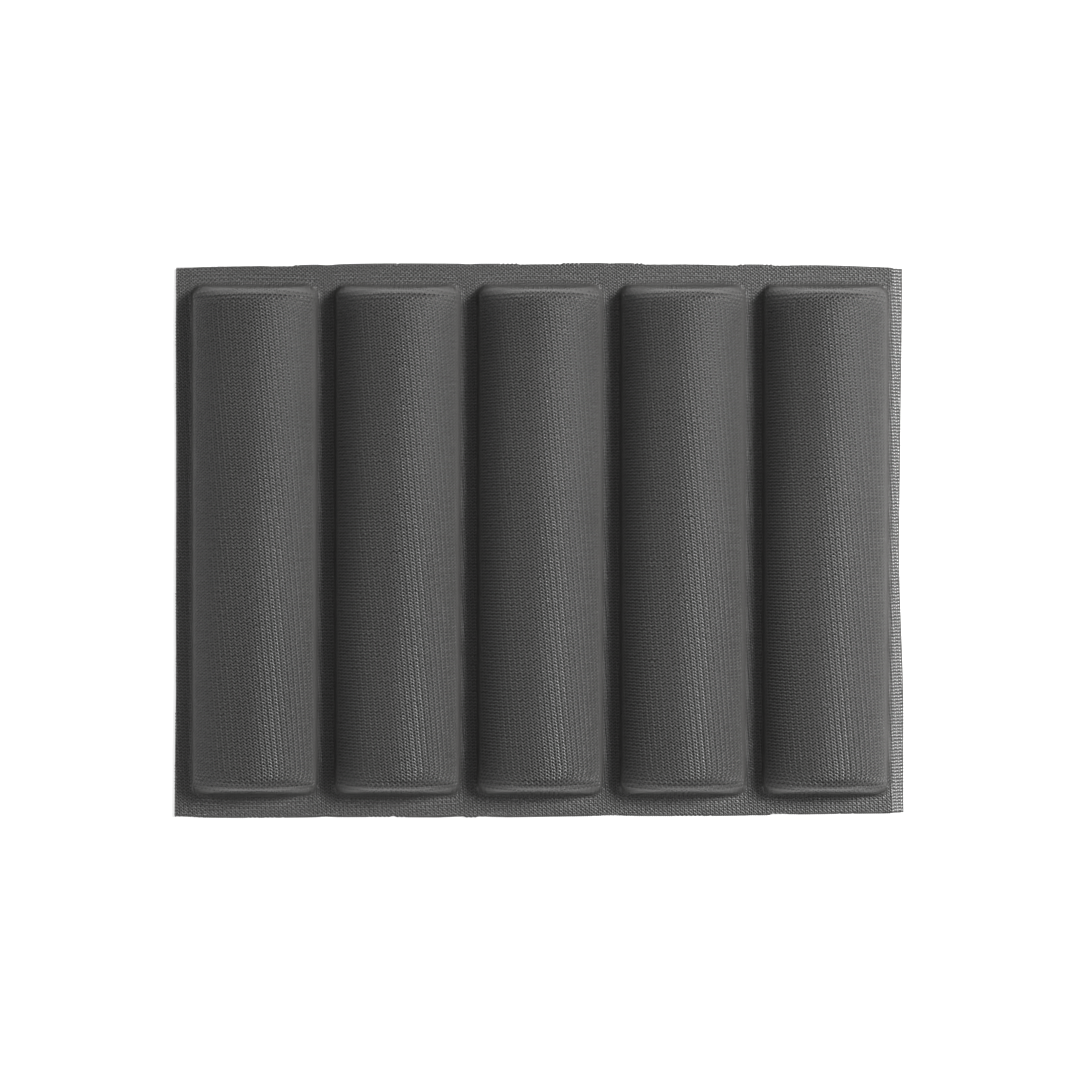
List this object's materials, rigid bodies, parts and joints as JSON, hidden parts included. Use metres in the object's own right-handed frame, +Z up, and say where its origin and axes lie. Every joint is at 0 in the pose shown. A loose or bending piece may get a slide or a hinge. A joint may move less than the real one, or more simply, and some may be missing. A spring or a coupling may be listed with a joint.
{
  "type": "baguette tray",
  "caption": "Flexible mesh baguette tray: a moulded sheet of silicone-coated knitted glass fibre with parallel rounded channels and a flat flange, shown turned over.",
  "frame": {"origin": "centre of the flange's underside, on the surface that the turned-over tray rests on", "axes": "+X across the channels, +Y along them, +Z up towards the channels' rounded backs"},
  "size_m": [0.4, 0.3, 0.025],
  "materials": {
    "silicone_coat": "satin",
    "glass_knit": "matte"
  },
  "bodies": {
    "root": {"back_coat_channel_1": "silicone_coat", "back_coat_channel_2": "silicone_coat", "back_coat_channel_3": "silicone_coat", "back_coat_channel_4": "silicone_coat", "back_coat_channel_5": "silicone_coat", "back_coat_rim_left": "silicone_coat", "back_coat_rim_right": "silicone_coat", "back_coat_rim_front": "silicone_coat", "back_coat_rim_rear": "silicone_coat", "back_coat_web_1": "silicone_coat", "back_coat_web_2": "silicone_coat", "back_coat_web_3": "silicone_coat", "back_coat_web_4": "silicone_coat", "knit_channel_1": "glass_knit", "knit_channel_2": "glass_knit", "knit_channel_3": "glass_knit", "knit_channel_4": "glass_knit", "knit_channel_5": "glass_knit", "knit_rim_left": "glass_knit", "knit_rim_right": "glass_knit", "knit_rim_front": "glass_knit", "knit_rim_rear": "glass_knit", "knit_web_1": "glass_knit", "knit_web_2": "glass_knit", "knit_web_3": "glass_knit", "knit_web_4": "glass_knit", "food_coat_channel_1": "silicone_coat", "food_coat_channel_2": "silicone_coat", "food_coat_channel_3": "silicone_coat", "food_coat_channel_4": "silicone_coat", "food_coat_channel_5": "silicone_coat", "food_coat_rim_left": "silicone_coat", "food_coat_rim_right": "silicone_coat", "food_coat_rim_front": "silicone_coat", "food_coat_rim_rear": "silicone_coat", "food_coat_web_1": "silicone_coat", "food_coat_web_2": "silicone_coat", "food_coat_web_3": "silicone_coat", "food_coat_web_4": "silicone_coat"}
  },
  "joints": []
}
